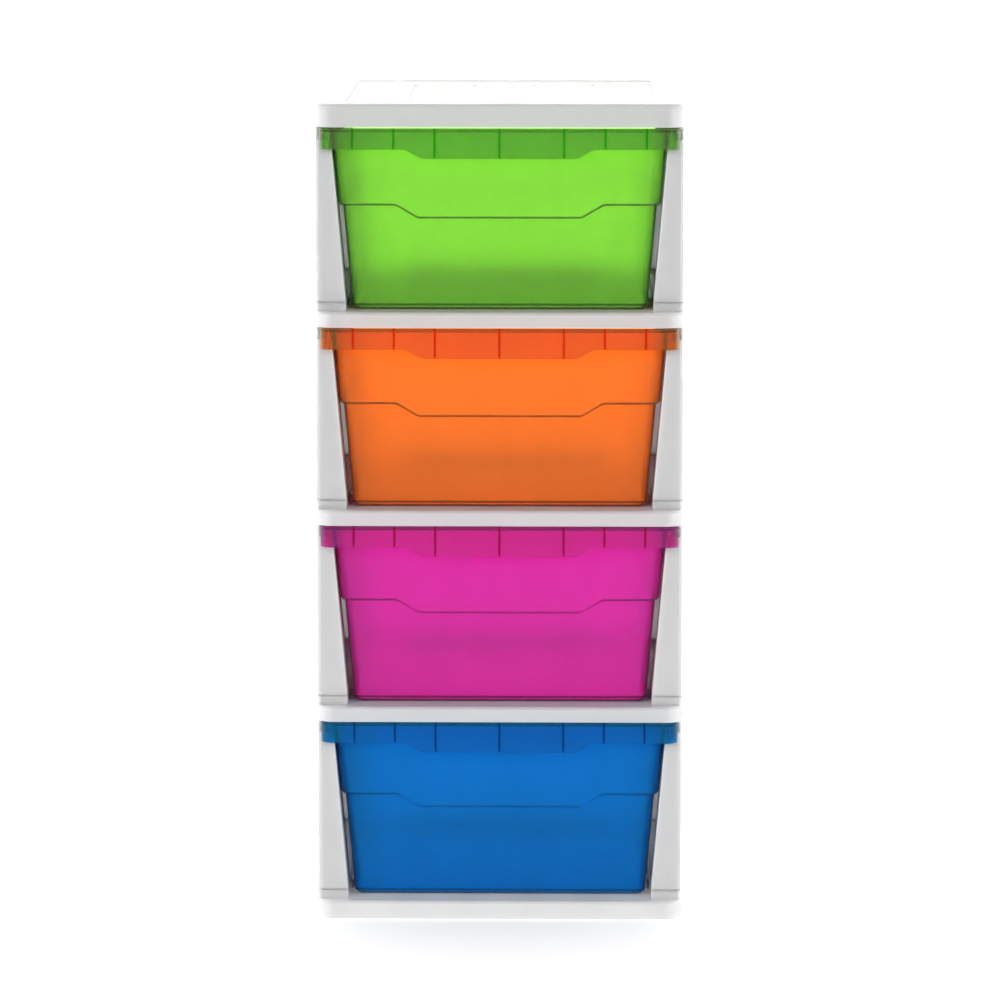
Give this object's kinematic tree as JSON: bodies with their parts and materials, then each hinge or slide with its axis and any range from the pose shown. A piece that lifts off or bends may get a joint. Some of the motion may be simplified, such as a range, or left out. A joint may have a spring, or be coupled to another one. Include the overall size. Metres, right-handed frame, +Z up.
{
  "type": "plastic drawer tower",
  "caption": "Free-standing plastic storage tower with translucent coloured drawers that pull out between white decks and slanted side frames.",
  "frame": {"origin": "on the floor at the middle of the tower's footprint", "axes": "+Z up; -Y towards the front, the way the drawers pull out; +X to the right as seen from the front"},
  "size_m": [0.37, 0.42, 0.826],
  "materials": {
    "white_plastic": "satin",
    "blue_plastic": "translucent, fine satin",
    "pink_plastic": "translucent, fine satin",
    "orange_plastic": "translucent, fine satin",
    "green_plastic": "translucent, fine satin"
  },
  "bodies": {
    "tower": {"base_panel": "white_plastic", "deck_2": "white_plastic", "deck_3": "white_plastic", "deck_4": "white_plastic", "top_panel": "white_plastic", "side_frame_left_1": "white_plastic", "side_frame_right_1": "white_plastic", "side_frame_left_2": "white_plastic", "side_frame_right_2": "white_plastic", "side_frame_left_3": "white_plastic", "side_frame_right_3": "white_plastic", "side_frame_left_4": "white_plastic", "side_frame_right_4": "white_plastic"},
    "drawer_1_blue_body": {"drawer_1_blue": "blue_plastic"},
    "drawer_2_pink_body": {"drawer_2_pink": "pink_plastic"},
    "drawer_3_orange_body": {"drawer_3_orange": "orange_plastic"},
    "drawer_4_green_body": {"drawer_4_green": "green_plastic"}
  },
  "joints": [
    {"name": "slide_drawer_1_blue", "type": "slide", "parent": "tower", "child": "drawer_1_blue_body", "axis": [0, -1, 0], "range_m": [0, 0.285]},
    {"name": "slide_drawer_2_pink", "type": "slide", "parent": "tower", "child": "drawer_2_pink_body", "axis": [0, -1, 0], "range_m": [0, 0.285]},
    {"name": "slide_drawer_3_orange", "type": "slide", "parent": "tower", "child": "drawer_3_orange_body", "axis": [0, -1, 0], "range_m": [0, 0.285]},
    {"name": "slide_drawer_4_green", "type": "slide", "parent": "tower", "child": "drawer_4_green_body", "axis": [0, -1, 0], "range_m": [0, 0.285]}
  ]
}
